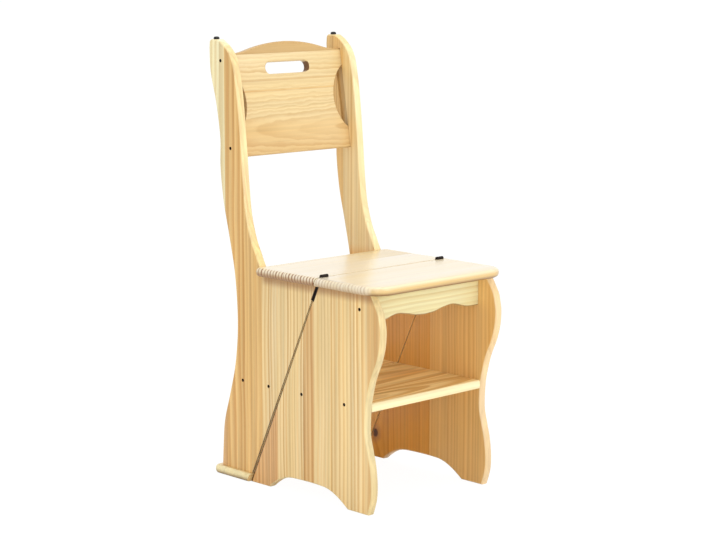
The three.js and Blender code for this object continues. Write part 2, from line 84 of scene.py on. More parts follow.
camera = add_object("camera", camera_data)
towards_camera = Vector((-math.sin(view_azimuth) * math.cos(view_elevation),
                         -math.cos(view_azimuth) * math.cos(view_elevation), math.sin(view_elevation)))
camera.location = look_at + view_distance * towards_camera
camera.rotation_mode = "QUATERNION"
camera.rotation_quaternion = towards_camera.to_track_quat("Z", "Y") @ Quaternion((0, 0, 1), view_roll)
bpy.context.scene.camera = camera

# The front side boards are upright pine staves, glued up, rounded with a router and then sawn along the
# slanting cut. The hinge leaves lie in a mortise at its top, and screws pass through each board into
# the step and the apron. A painted shade darkens the outer face beside the cut, standing in for the
# shade in the saw gap, and a painted shadow of the seat's overhang darkens the top of each board.
axis_depth, axis_height = frame["record"]["behaviour"]["joints"][0]["pos_m"][1:]
board_low, board_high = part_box("front_side_right")
inner_half, outer_half, side_top = board_low.x, board_high.x, board_high.z
side_thickness = outer_half - inner_half
seat_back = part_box("seat_rear")[1].y
front_reach, cut_reach = 0.166, 0.211
cut_length = math.hypot(cut_reach, axis_height)
saw_gap, fit_gap = 0.003, 0.0003
mortise_depth, mortise_length = 0.0039, 0.0563
edge_radius, foot_radius = 0.0035, 0.002
# The counterbores' depth and the painted shade in them.
counterbore, pocket_shade = 0.0045, 1.0
# The painted shade of the saw gap beside the cut: its strength, width, spread and fade.
saw_gap_shade, gap_shade_width, gap_shade_spread, gap_shade_fade = 0.95, 0.0006, 0.005, (0.3, 1.3)
# The painted shadow of the seat's overhang on the side boards: its strength, depth, start and fade.
seat_shadow, seat_shadow_depth, seat_shadow_start, seat_shadow_fade = 0.6, 0.022, 0.004, 0.02
round_steps, flat_band, tiny = 5, 0.0006, 1e-6
sharp_angle = math.radians(40)
nearly_in_line, nearly_upright, nearly_across, mostly_sideways = 0.9, 0.97, 0.999, 0.5
front_edge_shares = [
    (0.795, 0), (0.852, 0.07), (0.863, 0.14), (0.84, 0.22), (0.796, 0.29), (0.752, 0.36), (0.75, 0.43),
    (0.765, 0.5), (0.805, 0.57), (0.853, 0.63), (0.933, 0.7), (0.985, 0.77), (1, 0.84), (0.981, 0.89),
    (0.951, 0.93), (0.84, 1)]
foot_arch_shares = [(0, 0), (0.06, 0.33), (0.14, 0.67), (0.25, 0.93), (0.4, 1), (0.63, 1), (0.76, 0.9),
                    (0.88, 0.55), (1, 0)]
front_foot_share, rear_foot_share, foot_arch_rise = 0.45, 0.725, 0.032


def cut_depth_at(height, behind):
    """Where a plane parallel to the slanting cut, and so far behind it, lies at a height."""
    slope = cut_reach / axis_height
    return axis_depth + cut_reach - slope * height + behind * math.hypot(1, slope)


def along_cut(along, behind):
    """The depth and height of a point so far down the cut from the hinge axis, and behind it."""
    return (axis_depth + (cut_reach * along + axis_height * behind) / cut_length,
            axis_height + (cut_reach * behind - axis_height * along) / cut_length)


def smooth_line(points, steps):
    """A curve through the points. Each span is the cubic that leaves a point along the line between
    the two points on either side of it."""
    points = np.asarray(points, float)
    last = len(points) - 1
    place = np.linspace(0, last, steps + 1)
    span = np.minimum(place.astype(int), last - 1)
    t = (place - span)[:, None]
    before, start, end, after = (points[np.clip(span + k, 0, last)] for k in (-1, 0, 1, 2))
    leave, arrive = (end - before) / 2, (after - start) / 2
    cubic = 2 * (start - end) + leave + arrive
    square = 3 * (end - start) - 2 * leave - arrive
    return ((cubic * t + square) * t + leave) * t + start


def from_shares(shares, start, size):
    """Points given by their shares of a size that is measured from a start."""
    return np.multiply(shares, size) + start


def closed_outline(*stretches):
    """Stretches of points, each with the rounding of the sides that leave its points, become one
    outline that runs anticlockwise, and the rounding of each of its sides."""
    points = np.concatenate([part for part, radius in stretches])
    radii = np.concatenate([np.full(len(part), radius) for part, radius in stretches])
    following = np.roll(points, -1, 0)
    area = (points[:, 0] * following[:, 1] - following[:, 0] * points[:, 1]).sum()
    if area < 0:
        return points[::-1], np.roll(radii[::-1], -1)
    return points, radii


def left_sides(outline):
    """The direction to the left of each side, that of the side before it, and where the two sides
    are nearly in line."""
    sides = np.roll(outline, -1, 0) - outline
    left = np.stack([-sides[:, 1], sides[:, 0]], 1) / np.linalg.norm(sides, axis=1)[:, None]
    left_before = np.roll(left, 1, 0)
    return left, left_before, (left * left_before).sum(1) > nearly_in_line


def inset(outline, distances):
    """Moves each side of an outline to its left by its own distance. A corner goes to where its two
    moved sides meet, and where they are nearly in line it goes by their mean distance along the
    line that halves the corner."""
    left, left_before, in_line = left_sides(outline)
    before = np.roll(distances, 1)
    cosine = (left * left_before).sum(1)
    spread = np.maximum(1 - cosine ** 2, tiny)
    meeting = left_before * ((before - cosine * distances) / spread)[:, None] \
        + left * ((distances - cosine * before) / spread)[:, None]
    halving = (left + left_before) * ((distances + before) / 2 / (1 + cosine))[:, None]
    return outline + np.where(in_line[:, None], halving, meeting)


def edge_rings(outline, radii, thickness):
    """The rounded rim of a board: a quarter circle down from the low face, the rim, and a quarter
    circle up to the high face. Returns rings of places (u, v, w), with a narrow flat band first
    and last."""
    before = np.roll(radii, 1)
    corner = np.where(left_sides(outline)[2], (radii + before) / 2, np.maximum(radii, before))
    low = [np.column_stack([inset(inset(outline, radii), np.full(len(radii), flat_band)), 0 * radii])]
    for angle in np.linspace(0, math.pi / 2, round_steps + 1):
        ring = inset(outline, radii * (1 - math.sin(angle)))
        low.append(np.column_stack([ring, corner * (1 - math.cos(angle))]))
    high = [ring * (1, 1, -1) + (0, 0, thickness) for ring in low]
    return low + high[::-1]


def arc(centre, radius, angles):
    """Points round a centre, at a radius that may be a pair."""
    return np.column_stack([np.cos(angles), np.sin(angles)]) * radius + centre


def circle(centre, radius):
    """A round outline that runs clockwise, as an opening in a board does."""
    return arc(centre, radius, np.linspace(0, -2 * math.pi, 20, endpoint=False))


def strip_faces(rows, around, first=0):
    """The numbers of the points in rows round a loop, and the faces between each row and the next."""
    grid = first + np.arange(rows * around).reshape(rows, around)
    beside = np.roll(grid, -1, 1)
    return grid, np.stack([grid[:-1], beside[:-1], beside[1:], grid[1:]], -1).reshape(-1, 4).tolist()


def cleaned(meshes, open_levels=()):
    """Meshes as one, with doubled points merged, faces outwards, and a board's two faces filled in at
    the levels where it is open."""
    bm = bmesh.new()
    for mesh in meshes:
        bm.from_mesh(mesh)
    bmesh.ops.remove_doubles(bm, verts=bm.verts, dist=tiny)
    if open_levels:
        bmesh.ops.dissolve_degenerate(bm, edges=bm.edges, dist=tiny / 10)
    for level in open_levels:
        rim = [edge for edge in bm.edges if edge.is_boundary
               and all(abs(point.co.z - level) < tiny for point in edge.verts)]
        bmesh.ops.triangle_fill(bm, use_beauty=True, edges=rim, normal=(0, 0, 1))
    bmesh.ops.recalc_face_normals(bm, faces=bm.faces)
    bm.to_mesh(meshes[0])
    bm.free()
    for mesh in meshes[1:]:
        bpy.data.meshes.remove(mesh)
    return meshes[0]


def read(items, field, width=3, kind=float):
    """A field of a mesh's points, corners or faces, one row for each."""
    values = np.empty(len(items) * width, kind)
    items.foreach_get(field, values)
    return values.reshape(-1, width)


def pocket_marks(mesh, thickness, pockets):
    """How dark a painted shade makes each face. A face is in a pocket if one of its corners is at its
    depth.
    """
    corners, faces = (read(items, field, 1, int)[:, 0] for items, field in (
        (mesh.loops, "vertex_index"), (mesh.polygons, "loop_start")))
    heights = read(mesh.vertices, "co")[corners, 2]
    marks = [dark * np.isclose(heights, thickness - depth if on_high else depth, atol=tiny)
             for loop, depth, on_high, dark in pockets]
    return np.maximum.reduceat(np.max([0 * heights, *marks], 0), faces)


def mark_faces(mesh, name, values):
    """Keeps one number for each face, which the face's material reads by its name."""
    mesh.attributes.new(name, "FLOAT", "FACE").data.foreach_set("value", np.asarray(values, float))


def board_mesh(name, outline, radii, thickness, place, openings=(), pockets=(), shaded_sides=(),
               pale_cut=False):
    """A board from its outline on (u, v) and its thickness along w, with openings that pass through
    it, each with a rounding, and pockets, each with a depth, the face that it is cut in and how dark
    a shade is painted in it. place turns arrays of u, v and w into x, y and z. The faces get two
    marks: how dark a painted shade makes them, in the pockets and on the end grain within each given
    half width, with its darkness, and whether they belong to the routed rim, or to the slanting cut
    if that is pale."""
    points, faces = [], []

    def strip(rings):
        """Adds rings of points, joined by faces, and returns the numbers of the points."""
        grid, between = strip_faces(len(rings), len(rings[0]), sum(map(len, points)))
        faces.extend(between)
        points.extend(rings)
        return grid

    strip(edge_rings(outline, radii, thickness))
    for loop, radius in openings:
        strip(edge_rings(loop, np.full(len(loop), radius), thickness))
    for loop, depth, on_high, dark in pockets:
        levels = (0, depth, depth)
        loops = (loop, loop, inset(loop, np.full(len(loop), -flat_band)))
        rings = [np.column_stack([flat, np.full(len(flat), thickness - level if on_high else level)])
                 for flat, level in zip(loops, levels)]
        faces.append(strip(rings)[-1].tolist())

    mesh = bpy.data.meshes.new(name)
    mesh.from_pydata(np.concatenate(points), [], faces)
    cleaned([mesh], (0, thickness))
    painted_dark = pocket_marks(mesh, thickness, pockets)
    standing = np.abs(read(mesh.polygons, "normal")[:, 2]) < nearly_upright
    mesh.vertices.foreach_set("co", np.stack(place(*read(mesh.vertices, "co").T), 1).ravel())
    mesh.update()
    normals, centres = read(mesh.polygons, "normal"), read(mesh.polygons, "center")
    across_cut = np.subtract(along_cut(0, 1), along_cut(0, 0))
    behind = (centres[:, 1:] - along_cut(0, 0)) @ across_cut
    in_cut = np.abs(normals[:, 1:] @ across_cut) > nearly_across
    in_cut &= np.abs(behind) < mortise_depth + saw_gap
    mark_faces(mesh, "routed", standing & (pale_cut | ~in_cut) & (painted_dark == 0))
    for half_width, dark in shaded_sides:
        end_grain = standing & (np.abs(normals[:, 0]) > mostly_sideways)
        painted_dark = np.maximum(painted_dark, (end_grain & (np.abs(centres[:, 0]) < half_width)) * dark)
    mark_faces(mesh, "raw_wood", painted_dark)
    if np.linalg.det(np.stack(place(*np.eye(3)), 0) - np.stack(place(*np.zeros((3, 1))), 0)) < 0:
        mesh.flip_normals()
    return mesh


def add_piece(name, mesh, material):
    """Puts a finished mesh into the scene in place of the CAD node of its name, on that node's body,
    shaded smooth but for its sharp edges."""
    mesh.shade_smooth()
    mesh.set_sharp_from_angle(angle=sharp_angle)
    mesh.materials.append(material)
    piece = add_object(f"{name}_piece", mesh)
    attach(piece, frame["nodes"][name]["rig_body"])
    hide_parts(name)


class Wire:
    """A value in a material. Sums, products and powers of wires and numbers become Math nodes."""

    def __init__(self, tree, socket=None):
        self.tree = tree
        self.socket = socket

    def node(self, kind, settings=None, inputs=None, output=0):
        """Adds a node: its settings first, then its inputs, and returns one of its outputs."""
        added = self.tree.nodes.new(kind)
        for key, value in (settings or {}).items():
            setattr(added, key, value)
        for key, value in (inputs or {}).items():
            if isinstance(value, Wire):
                self.tree.links.new(value.socket, added.inputs[key])
            else:
                added.inputs[key].default_value = value
        return Wire(self.tree, added.outputs[output])

    def math(self, operation, *others):
        """One Math node on this value and the others."""
        return self.node("ShaderNodeMath", {"operation": operation}, dict(enumerate((self, *others))))

    __add__ = __radd__ = partialmethod(math, "ADD")
    __mul__ = __rmul__ = partialmethod(math, "MULTIPLY")
    __sub__ = partialmethod(math, "SUBTRACT")
    __truediv__ = partialmethod(math, "DIVIDE")
    __pow__ = partialmethod(math, "POWER")

    def __rsub__(self, other):
        return self * -1 + other

    def rise(self, low, high):
        """0 below low and 1 above high, with a soft step between them."""
        return self.node("ShaderNodeMapRange", {"interpolation_type": "SMOOTHSTEP"},
                         {"Value": self, "From Min": low, "From Max": high}, "Result")

    def vector(self, y, z):
        """A place whose X is this value."""
        return self.node("ShaderNodeCombineXYZ", None, {0: self, 1: y, 2: z})

    def noise(self, scale, detail=2.0, rough=0.5):
        """Cloudy noise about zero, from -0.5 to 0.5, at a place."""
        inputs = {"Vector": self, "Scale": scale, "Detail": detail, "Roughness": rough}
        return self.node("ShaderNodeTexNoise", None, inputs, "Fac") - 0.5

    def bump(self, strength, distance):
        """The surface's normal, where this value is its height."""
        inputs = {"Strength": strength, "Distance": distance, "Height": self}
        return self.node("ShaderNodeBump", None, inputs)

    def random(self):
        """A number from 0 to 1 that is the same wherever this value is the same."""
        return self.node("ShaderNodeTexWhiteNoise", {"noise_dimensions": "1D"}, {"W": self}, "Value")

    def mix(self, first, second):
        """Two colours mixed by this value."""
        return self.node("ShaderNodeMix", {"data_type": "RGBA"}, {0: self, 6: first, 7: second}, 2)

    def times(self, other):
        """The product of two colours."""
        return self.node("ShaderNodeVectorMath", {"operation": "MULTIPLY"}, {0: self, 1: other})


def colour(code):
    """A colour written as six hexadecimal digits, as the shaders take it."""
    parts = np.array([int(code[i:i + 2], 16) / 255 for i in (0, 2, 4)])
    linear = np.where(parts > 0.04045, ((parts + 0.055) / 1.055) ** 2.4, parts / 12.92)
    return (*linear, 1.0)


def new_material(name):
    """A material, its surface shader, and a wire on the place in the piece."""
    material = bpy.data.materials.new(name)
    material.use_nodes = True
    shader = material.node_tree.nodes["Principled BSDF"]
    return material, shader, Wire(material.node_tree).node("ShaderNodeTexCoord", output="Object")


def parts_of(place):
    """The X, Y and Z of a place."""
    outputs = place.node("ShaderNodeSeparateXYZ", None, {0: place}).socket.node.outputs
    return {axis: Wire(place.tree, outputs[axis]) for axis in "XYZ"}


def connect(shader, **wires):
    """Feeds what varies over a surface to its shader."""
    for name, wire in wires.items():
        wire.tree.links.new(wire.socket, shader.inputs[name.replace("_", " ")])


woods = {
    "cream": "ddd09c", "blond": "e8d7b5", "pale": "f5e6b2", "straw": "ebcd92", "sand": "d9bf8b",
    "buff": "d3b178", "fawn": "c19c62", "tan": "dab274", "honey": "e3b974", "gold": "e9bb73",
    "bronze": "dcb06c", "wheat": "fadb98", "amber": "e4aa55", "toffee": "d59842", "russet": "ddae72",
    "rim": "d8b676", "shade": "94682f"}
early_tint, late_tint = (1.06, 1.09, 1.14, 1), (0.8, 0.66, 0.5, 1)
knot_wood, knot_ring, knot_halo = "5c3014", "331a0a", "a06a44"
# Dark colours: painted shade in pockets and grooves, painted shade of the saw gap, the end grain's strokes
# (also used for painted shade and shadow), and painted shade under rounded edges.
painted_shade_colour, gap_shade_colour, stroke_and_shadow_brown, under_shade = "5c2c0a", "4a2a08", "8a4f1c", "7d5526"
slow_wander, quick_wander, deep_wander = 0.016, 0.0016, 0.022
late_wood, ring_close = (0.1, 0.85), (0.87, 1.0)
fibre_tone, streak_tone, patch_tone, canal_tone = 0.16, 0.3, 0.14, 0.12
glue_line, glue_tone = 0.001, 0.07
# How the end grain blends in, its painted highlight where strokes are weak, its painted shade below, and
# how much of the painted shade under rims the ends are spared.
end_blend, end_fade_drop, end_highlight, end_spared = 0.006, 0.005, 0.9, 0.7
end_stroke_wood, end_shade_from, end_shade = (0.35, 0.85), (0.003, 0.014), 0.65


def pine(name, axes, staves, origin=(0, 0, 0), lean=0.0, grain=1.0, waver=3.0, flame=0.0, knots=(),
         seed=0.0, change=(0, 1), edges=("straw", 0.0), edge_fade=(), under=(), end_from=None, strokes=0.0,
         coat=0.6, gap_shade=0.0):
    """Lacquered pine, with axes that run along, across and through the board. The rings are circles
    about each stave's pith, at the distance sqrt(across^2 + through^2), drawn off line by slow noise,
    so one formula gives straight grain, cathedral arches and end grain. A ring darkens slowly from its
    pale early wood to its late wood and then starts again. grain is how strong the rings are, waver how
    uneven, flame how far they curl, seed picks other noise, and coat is the share of lacquer. A stave
    is (where it starts, which isn't read for the first, wood, pith across, pith through, ring width,
    drift of the pith along the board) and a knot is (along, across, size). A stave's wood may be a
    pair, which changes along the board over the stretch change, or a pair and its own stretch across
    the board. The routed rim takes some of the colour in edges, which fades out over the heights
    edge_fade: partly the rim's own wood and partly painted light, paler as a painted highlight or
    darker as a painted shade. under is two heights and the share of painted shade, in brown, below
    them. The end grain past end_from has dark strokes and a painted shade on its lower half, and is
    paler, a painted highlight, where the strokes are weak. gap_shade paints the shade of the saw gap
    on the outer face of a side board beside the slanting cut, and a painted shadow of the seat's
    overhang along its top. Faces marked with a painted shade turn dark and lose their coat."""
    material, shader, place = new_material(name)
    place = place.node("ShaderNodeMapping", {"vector_type": "TEXTURE"}, {
        "Vector": place, "Location": origin, "Rotation": (-lean, 0, 0)})
    parts = parts_of(place)
    a, c, t = (parts[axis] for axis in axes)
    changed = a.rise(*change)

    def wood_colour(wood, tint=(1, 1, 1, 1)):
        """A wood's colour, or a mix where it changes, times a tint."""
        if isinstance(wood, str):
            return tuple(np.array(colour(woods[wood])) * tint)
        share = c.rise(*wood[2:]) if len(wood) > 2 else changed
        return share.mix(wood_colour(wood[0], tint), wood_colour(wood[1], tint))

    early, late = wood_colour(staves[0][1], early_tint), wood_colour(staves[0][1], late_tint)
    shape, own = staves[0][2:], seed
    for before, stave in zip(staves, staves[1:]):
        beyond = c.math("GREATER_THAN", stave[0])
        early = beyond.mix(early, wood_colour(stave[1], early_tint))
        late = beyond.mix(late, wood_colour(stave[1], late_tint))
        shape = [beyond * (new - old) + value for value, old, new in zip(shape, before[2:], stave[2:])]
        own = beyond * 0.37 + own
    pith_across, pith_through, ring_width, drift = shape

    def cloud(times_along, times_across, detail=2.0, rough=0.5, apart=0, start=0):
        """Noise drawn out along the board, so many times a metre each way. Staves differ by apart."""
        depth = t * times_across + own * apart
        return (a * times_along + start).vector(c * times_across, depth).noise(1.0, detail, rough)

    off_across = cloud(2.2, 9, apart=40) * slow_wander + cloud(9, 50, apart=40) * quick_wander
    if flame:
        off_across = off_across + cloud(26, 60) * flame
    off_through = cloud(1.7, 7, apart=40, start=7) * deep_wander
    radius_across = c - pith_across + off_across
    radius_through = t - pith_through + a * drift + off_through
    radius = (radius_across ** 2 + radius_through ** 2) ** 0.5
    for knot_along, knot_across, size in knots:
        near = ((a - knot_along) * 0.55) ** 2 + (c - knot_across) ** 2
        radius = radius + (near / (-6 * size * size)).math("EXPONENT") * (size * 1.6)
    uneven = radius.vector(own * 30, 0.0).noise(22.0) * waver
    rings = radius / ring_width + uneven + own * 9
    within = rings.math("FRACT")
    band = within.rise(*late_wood) * (1 - within.rise(*ring_close))
    weight = rings.math("FLOOR").random() ** 1.2 * 0.75 + 0.25
    patch = cloud(3, 14, 3.0, apart=20)
    late_share = (band * weight * (1 + patch) * (0.85 * grain)).math("MINIMUM", 1.0)
    tint = late_share.mix(early, late)

    routed = place.node("ShaderNodeAttribute", {"attribute_name": "routed"}, None, "Fac")
    end = 0 if end_from is None else a.math("ABSOLUTE").rise(end_from, end_from + end_blend)
    # The routed rim's colour: partly its own wood and partly painted light, a painted highlight where it is
    # paler and a painted shade where it is darker.
    faded = routed * (1 - (t + end * end_fade_drop).rise(*edge_fade)) if edge_fade else routed
    edge_share = faded * edges[1] * (1 - end * ((1 - strokes) * end_highlight))
    tint = edge_share.mix(tint, wood_colour(edges[0]))
    # The end grain's dark strokes, then a painted shade in the same brown on the lower half of the end;
    # where the strokes are weak the end keeps the pale wood as a painted highlight.
    if end_from is not None:
        stroke = end * band.rise(*end_stroke_wood) * (weight * 0.6 + 0.4) * strokes
        tint = stroke.mix(tint, colour(stroke_and_shadow_brown))
        below = end * routed * (1 - t.rise(*end_shade_from)) * (strokes * end_shade)
        tint = below.mix(tint, colour(stroke_and_shadow_brown))
    # A painted shade on the lower part of the rounded rim, partly spared at the ends.
    if under:
        below = routed * (1 - end * end_spared) * (1 - t.rise(*under[:2])) * under[2]
        tint = below.mix(tint, colour(under_shade))

    fibre = cloud(16, 700, 3.0, 0.6)
    streaks = cloud(2.5, 170, apart=20) + cloud(1.4, 55, apart=20)
    canal = cloud(110, 1400, 1.0).rise(0.19, 0.27)
    hue = cloud(2, 30, 1.0, apart=20, start=3)
    shade = 1 + fibre * fibre_tone + streaks * (streak_tone * grain) + patch * patch_tone
    shade = shade - canal * canal_tone
    for stave in staves[1:]:
        joint = 1 - (c - stave[0]).math("ABSOLUTE").rise(glue_line / 5, glue_line)
        shade = shade - joint * glue_tone
    tint = tint.times(shade.vector(shade * (1 + hue * 0.12), shade * (1 + hue * 0.5)))
    for knot_along, knot_across, size in knots:
        reach = (((a - knot_along) * 0.8) ** 2 + (c - knot_across) ** 2) ** 0.5 / size + cloud(90, 90) * 0.7
        tint = (0.6 - reach.rise(0.9, 2.6) * 0.6).mix(tint, colour(knot_halo))
        turns = (reach * 3).math("FRACT") * 0.5
        tint = (1 - reach.rise(0.6, 1.1)).mix(tint, turns.mix(colour(knot_wood), colour(knot_ring)))
    # A painted shade of the saw gap on the outer face, beside the slanting cut.
    if gap_shade:
        outside = t.math("ABSOLUTE").math("GREATER_THAN", outer_half - edge_radius / 6)
        ahead, above = c - axis_depth, a - axis_height
        off_cut = ahead * (axis_height / cut_length) + above * (cut_reach / cut_length)
        down_cut = ahead * (cut_reach / cut_length) - above * (axis_height / cut_length)
        half_gap = down_cut.math("LESS_THAN", mortise_length) * (mortise_depth - saw_gap / 2) + saw_gap / 2
        reach = down_cut.math("MAXIMUM", 0.0) * gap_shade_spread + gap_shade_width
        beside = 1 - ((off_cut.math("ABSOLUTE") - half_gap) / reach).rise(*gap_shade_fade)
        tint = (beside * outside * gap_shade).mix(tint, colour(gap_shade_colour))
        # A painted shadow of the seat's overhang along the top of the outer face, ending behind the seat.
        seat_shadow_share = a.rise(side_top - seat_shadow_depth, side_top - seat_shadow_start) * a.math("LESS_THAN", side_top)
        seat_shadow_share = seat_shadow_share * (1 - c.rise(seat_back - seat_shadow_fade, seat_back))
        tint = (seat_shadow_share * outside * seat_shadow).mix(tint, colour(stroke_and_shadow_brown))
    # A painted shade on pockets, the groove and the backrest's cut-outs and slot; it also takes off the
    # coat.
    painted_dark = place.node("ShaderNodeAttribute", {"attribute_name": "raw_wood"}, None, "Fac")
    tint = painted_dark.mix(tint, colour(painted_shade_colour))
    roughness = 0.46 - band * 0.06 + fibre * 0.1
    height = fibre * 0.5 + band * 0.35 - canal * 0.5
    connect(shader, Base_Color=tint, Roughness=roughness, Normal=height.bump(0.25, 0.0002),
            Coat_Weight=(1 - painted_dark) * coat)
    shader.inputs["Specular IOR Level"].default_value = 0.2
    shader.inputs["Coat Roughness"].default_value = 0.25
    return material


def screw_pockets(kinds, side, axes, on_high):
    """The counterbores in a board's face, on two axes, round the heads of its screws."""
    pockets = []
    for node in frame["nodes"]:
        if node.startswith(kinds) and side in node:
            low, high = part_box(node)
            middle = (low + high) / 2
            radius = max(high[axis] - low[axis] for axis in axes) / 2 + fit_gap
            loop = circle([middle[axis] for axis in axes], radius)
            pockets.append((loop, counterbore, on_high, pocket_shade))
    return pockets


front_edge = smooth_line(from_shares(front_edge_shares, (axis_depth, 0), (-front_reach, side_top)), 110)
arch_from = axis_depth + rear_foot_share * cut_reach
arch_to = axis_depth - front_foot_share * front_reach
foot_arch = smooth_line(from_shares(foot_arch_shares, (arch_from, 0),
                                    (arch_to - arch_from, foot_arch_rise)), 70)
front_side = closed_outline(
    (front_edge[:-1], edge_radius),
    (front_edge[-1:], 0),
    ([(cut_depth_at(side_top, -mortise_depth), side_top), along_cut(mortise_length, -mortise_depth),
      along_cut(mortise_length, -saw_gap / 2)], 0),
    ([(cut_depth_at(0, -saw_gap / 2), 0)], foot_radius),
    (foot_arch[:-1], edge_radius),
    (foot_arch[-1:], foot_radius))
side_starts = {"left": -outer_half, "right": inner_half}
front_staves = {
    "left": [(-0.6, ("tan", "straw", -0.225, -0.2), -0.42, 0.01, 0.0095, 0.0),
             (-0.0612, "tan", -0.14, -0.10, 0.010, 0.02), (-0.031, "straw", -0.30, -0.10, 0.009, 0.0),
             (0.0455, "russet", 0.2, -0.25, 0.008, 0.0)],
    # The right boards' staves turn darker and more orange towards the bottom: a painted shade low inside
    # the chair.
    "right": [(-0.6, ("bronze", "gold"), -0.42, 0.26, 0.0085, 0.0),
              (-0.0655, ("toffee", "amber"), 0.14, 0.10, 0.008, 0.02)],
}
side_grain = {"left": 1.7, "right": 0.9}
# Paler rims: partly the wood of the routed edge and partly a painted highlight.
side_edges = {"left": ("cream", 0.6), "right": ("blond", 0.5)}
front_knots = {"left": (), "right": ((0.053, 0.0946, 0.0085),)}
for side, x_from in side_starts.items():
    wood = pine(f"pine_front_side_{side}", "ZYX", front_staves[side], grain=side_grain[side],
                knots=front_knots[side], change=(0.15, 0.25), edges=side_edges[side],
                gap_shade=saw_gap_shade)
    pockets = screw_pockets(("lower_step_screw", "apron_screw"), side, (1, 2), side == "right")
    mesh = board_mesh(f"front_side_{side}", *front_side, side_thickness,
                      lambda u, v, w: (x_from + w, u, v), pockets=pockets, pale_cut=True)
    add_piece(f"front_side_{side}", mesh, wood)

# The steps between the side boards are plain boards screwed through their ends. The slanting cut
# parts them like the rest: the lower step stays in front, and the upper step turns with the back.
step_edge_radius = 0.004
step_staves = {
    "lower": [(-0.6, "wheat", -0.17, -0.015, 0.012, 0.09), (-0.13, "wheat", -0.05, -0.05, 0.013, 0.06)],
    "upper": [(-0.6, "wheat", 0.1, -0.07, 0.008, 0.02), (0.12, "honey", 0.15, -0.12, 0.008, 0.0)],
}


def plan_place(low, high, behind):
    """A board seen from above: u is across, v is depth and w is up from its lower face. Its sawn side
    leans with the slanting cut, which it meets at its middle height."""
    middle = cut_depth_at((low + high) / 2, behind)
    near = 0.006

    def place(u, v, w):
        """Points of the board in the frame."""
        lean = cut_depth_at(low + w, behind) - middle
        return u, v + np.where(np.abs(v - middle) < near, lean, 0), low + w

    return middle, place


for half, node, behind in (("lower", "lower_step", -saw_gap / 2), ("upper", "upper_step", saw_gap / 2)):
    low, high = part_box(node)
    sawn, place = plan_place(low.z, high.z, behind)
    edge = low.y if half == "lower" else high.y
    outline = closed_outline(([(low.x, edge)], step_edge_radius),
                             ([(high.x, edge), (high.x, sawn), (low.x, sawn)], 0))
    mesh = board_mesh(node, *outline, high.z - low.z, place)
    # The steps' pale rims are partly a painted highlight.
    wood = pine(f"pine_{node}", "XYZ", step_staves[half], (0, 0, low.z), grain=1.9, edges=("pale", 0.8))
    add_piece(node, mesh, wood)

# The apron is a rail under the front of the seat. It is cut to a shallow wave along its lower edge,
# which is rounded over, and it is held by a screw through each side board.
apron_low, apron_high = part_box("front_apron")
apron_wave_rise, apron_edge_radius = 0.010, 0.003
wave_shares = [(0, 0), (0.17, 0.18), (0.31, 0.65), (0.45, 1), (0.53, 1), (0.61, 0.75), (0.7, 0.35),
               (0.82, 0.03), (1, 0)]
wave = smooth_line(from_shares(wave_shares, (0, apron_low.z), (apron_high.x, apron_wave_rise)), 60)
apron = closed_outline((wave[:0:-1] * (-1, 1), apron_edge_radius), (wave[:-1], apron_edge_radius),
                       ([wave[-1], (apron_high.x, apron_high.z), (apron_low.x, apron_high.z)], 0))
mesh = board_mesh("front_apron", *apron, apron_high.y - apron_low.y,
                  lambda u, v, w: (u, apron_low.y + w, v))
# Its rounded edges take the dark wood named shade: a painted shade along the lower edge of the wave. Its
# cream face is partly painted light from the front.
wood = pine("pine_apron", "XZY", [(-0.6, "cream", -0.3, 0.02, 0.011, 0.0)],
            (0, apron_low.y, apron_low.z), edges=("shade", 0.7))
add_piece("front_apron", mesh, wood)

# The back side boards run on up past the seat as posts, and are glued up and rounded as the front ones
# are. A groove in each inner face holds the backrest's end, and a painted shade darkens it.
back_reach = 0.331
post_depth = 0.104
post_front_reach = back_reach - post_depth
post_bottom, post_top = (corner.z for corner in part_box("back_side_right"))
post_foot_depth = seat_back - axis_depth + fit_gap
backrest_lean = math.radians(9.3)
backrest_half = 0.009
shoulder_depth = axis_depth + back_reach - 0.034
shoulder_height = post_top - 0.0295
shoulder_rise = 0.209
groove_depth, groove_shade = 0.004, 0.3
rear_edge_shares = [
    (0.909, 0.0204), (0.902, 0.067), (0.886, 0.128), (0.832, 0.195), (0.783, 0.262), (0.758, 0.335),
    (0.759, 0.402), (0.781, 0.48), (0.828, 0.558), (0.879, 0.636), (0.906, 0.714), (0.906, 0.781),
    (0.942, 0.859), (0.99, 0.926), (1, 0.979)]
rear_corner_shares = [(0.996, 0.995), (0.982, 1)]
post_top_shares = [(0.731, 1), (0.615, 0.986), (0.514, 0.968), (0.399, 0.942), (0.313, 0.908),
                   (0.264, 0.874), (0.188, 0.785), (0.12, 0.661), (0.058, 0.516), (0, 0.354)]
post_foot_shares = [(0.837, 0.22), (0.529, 0.112), (0.176, 0.04), (0, -0.005)]


def up_the_back(up, ahead):
    """The depth and height of a point so far up the leaning backrest from its foot, and ahead of it."""
    sine, cosine = math.sin(backrest_lean), math.cos(backrest_lean)
    up_from_shoulder = up - shoulder_rise
    return (shoulder_depth + up_from_shoulder * sine - ahead * cosine,
            shoulder_height + up_from_shoulder * cosine + ahead * sine)


